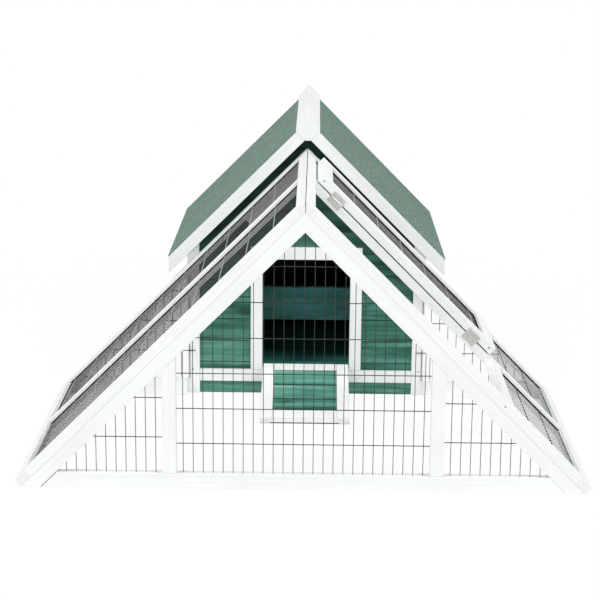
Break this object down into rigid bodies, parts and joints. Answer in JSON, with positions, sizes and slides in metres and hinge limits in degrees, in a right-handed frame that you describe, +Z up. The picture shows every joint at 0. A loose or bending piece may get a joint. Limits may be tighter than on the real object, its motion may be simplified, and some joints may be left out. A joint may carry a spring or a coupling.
{
  "type": "chicken coop with run",
  "caption": "Low A-frame hen run of welded mesh on a white timber frame, joined to a small boarded house with a felted roof, a ramp door, a hatch door in the run and a rear door.",
  "frame": {"origin": "bottom centre of the bounding box, on the ground", "axes": "+X to the right seen from the run's front, +Y from the run towards the house, +Z up"},
  "size_m": [1.1732, 1.292, 0.6683],
  "materials": {
    "white_timber": "satin white paint over planed softwood",
    "green_boards": "blue-green stain over grained boards",
    "roof_felt": "mineral-faced green roofing felt",
    "bare_wood": "planed bare softwood",
    "mesh_wire": "dark coated welded wire",
    "hinge_metal": "dull zinc plate"
  },
  "bodies": {
    "coop": {"front_bottom_rail": "white_timber", "front_rafters": "white_timber", "front_posts": "white_timber", "ridge_rails": "white_timber", "side_bottom_rails": "white_timber", "right_cross_rails": "white_timber", "left_cross_rails": "white_timber", "hatch_sill_rail": "white_timber", "hatch_jamb": "white_timber", "hatch_stop": "white_timber", "run_back_rails": "white_timber", "run_back_braces": "white_timber", "house_front_posts": "white_timber", "house_front_sill": "white_timber", "house_front_jambs": "white_timber", "house_front_head": "white_timber", "house_back_posts": "white_timber", "house_back_sill": "white_timber", "house_back_jambs": "white_timber", "house_back_head": "white_timber", "ridge_beam": "white_timber", "front_barge_boards": "white_timber", "back_barge_boards": "white_timber", "house_front_boards": "green_boards", "house_left_boards": "green_boards", "house_right_boards": "green_boards", "house_back_boards": "green_boards", "nest_board": "green_boards", "house_floor": "green_boards", "roof_felts": "roof_felt", "floor_cleats": "bare_wood", "roof_decks": "bare_wood", "front_left_mesh": "mesh_wire", "front_centre_mesh": "mesh_wire", "front_right_mesh": "mesh_wire", "left_front_mesh": "mesh_wire", "left_back_mesh": "mesh_wire", "right_front_mesh": "mesh_wire", "right_back_mesh": "mesh_wire", "run_back_meshes": "mesh_wire", "fixed_hinge_leaves": "hinge_metal", "hinge_pins": "hinge_metal", "rear_button_screw": "hinge_metal"},
    "run_door": {"run_door_stiles": "white_timber", "run_door_rails": "white_timber", "run_door_mesh": "mesh_wire", "run_door_hinge_leaves": "hinge_metal"},
    "ramp": {"ramp_stiles": "white_timber", "ramp_rails": "white_timber", "ramp_boards": "green_boards", "ramp_hinge_leaves": "hinge_metal", "ramp_end_plates": "hinge_metal"},
    "rear_door": {"rear_door_stiles": "white_timber", "rear_door_rails": "white_timber", "rear_door_boards": "green_boards", "rear_door_hinge_leaves": "hinge_metal"},
    "rear_button": {"rear_button": "white_timber"}
  },
  "joints": [
    {"name": "run_door_hinge", "type": "hinge", "parent": "coop", "child": "run_door", "pos_m": [0.30106, -0.3365, 0.30106], "axis": [0.7071, 0, -0.7071], "range_deg": [0, 180]},
    {"name": "ramp_hinge", "type": "hinge", "parent": "coop", "child": "ramp", "pos_m": [0, 0.0025, 0.0615], "axis": [-1, 0, 0], "range_deg": [0, 105.64]},
    {"name": "rear_door_hinge", "type": "hinge", "parent": "coop", "child": "rear_door", "pos_m": [0.1685, 0.5355, 0.1955], "axis": [0, 0, -1], "range_deg": [0, 110]},
    {"name": "rear_button_turn", "type": "hinge", "parent": "coop", "child": "rear_button", "pos_m": [-0.184, 0.5386, 0.1955], "axis": [0, 1, 0], "range_deg": [0, 90]}
  ]
}
